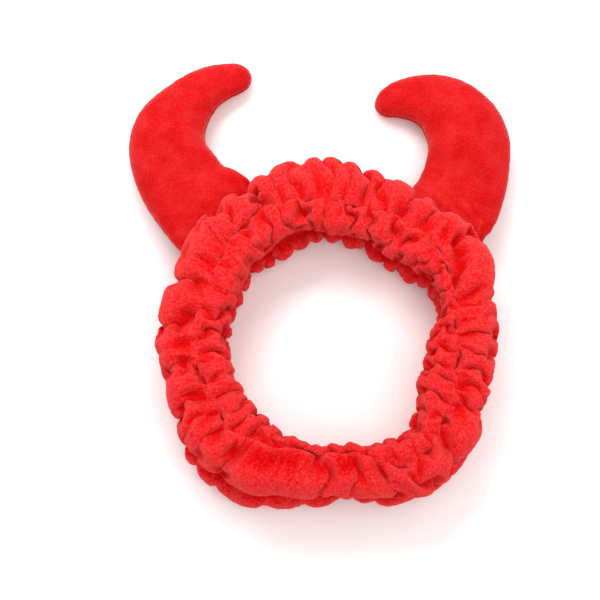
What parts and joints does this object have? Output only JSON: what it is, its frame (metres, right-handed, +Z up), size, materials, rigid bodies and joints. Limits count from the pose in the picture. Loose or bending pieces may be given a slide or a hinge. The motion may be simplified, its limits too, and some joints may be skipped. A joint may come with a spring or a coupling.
{
  "type": "devil horns headband",
  "caption": "Soft red fleece headband with gathered puffs round a hidden elastic strip, and stuffed plush devil horns curving inward on its top.",
  "frame": {"origin": "middle of the object's bounding box on the table it lies on", "axes": "+Z up from the table along the ring's axis, +Y through the top of the band towards the horns, +X to the right of the picture"},
  "size_m": [0.1808, 0.2172, 0.0404],
  "materials": {
    "coral_fleece": "matte",
    "short_pile_velvet": "matte",
    "woven_elastic": "matte"
  },
  "bodies": {
    "root": {"outer_layer": "coral_fleece", "inner_layer": "coral_fleece", "elastic_strip": "woven_elastic", "left_horn": "short_pile_velvet", "right_horn": "short_pile_velvet"}
  },
  "joints": []
}
